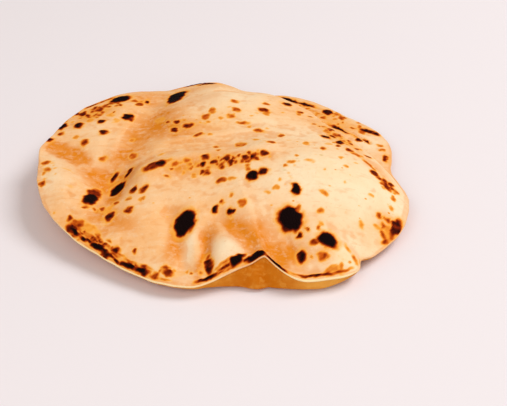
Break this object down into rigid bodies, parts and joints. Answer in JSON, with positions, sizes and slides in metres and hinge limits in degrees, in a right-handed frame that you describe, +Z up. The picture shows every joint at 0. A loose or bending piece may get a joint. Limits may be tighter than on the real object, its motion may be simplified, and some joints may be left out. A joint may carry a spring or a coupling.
{
  "type": "chapati flatbread",
  "caption": "Round puffed flatbread with a low folded dome, a thin wavy rim and a pointed arch at the front.",
  "frame": {"origin": "middle of the bread's box, on the surface that it lies on", "axes": "+Z up out of the puffed top, -Y to the front with the pointed arch, +X to the fat right cheek"},
  "size_m": [0.1792, 0.1688, 0.0284],
  "materials": {
    "baked_dough": "matt toasted dough, cream to golden, with brown and black scorch marks"
  },
  "bodies": {
    "root": {"chapati": "baked_dough"}
  },
  "joints": []
}
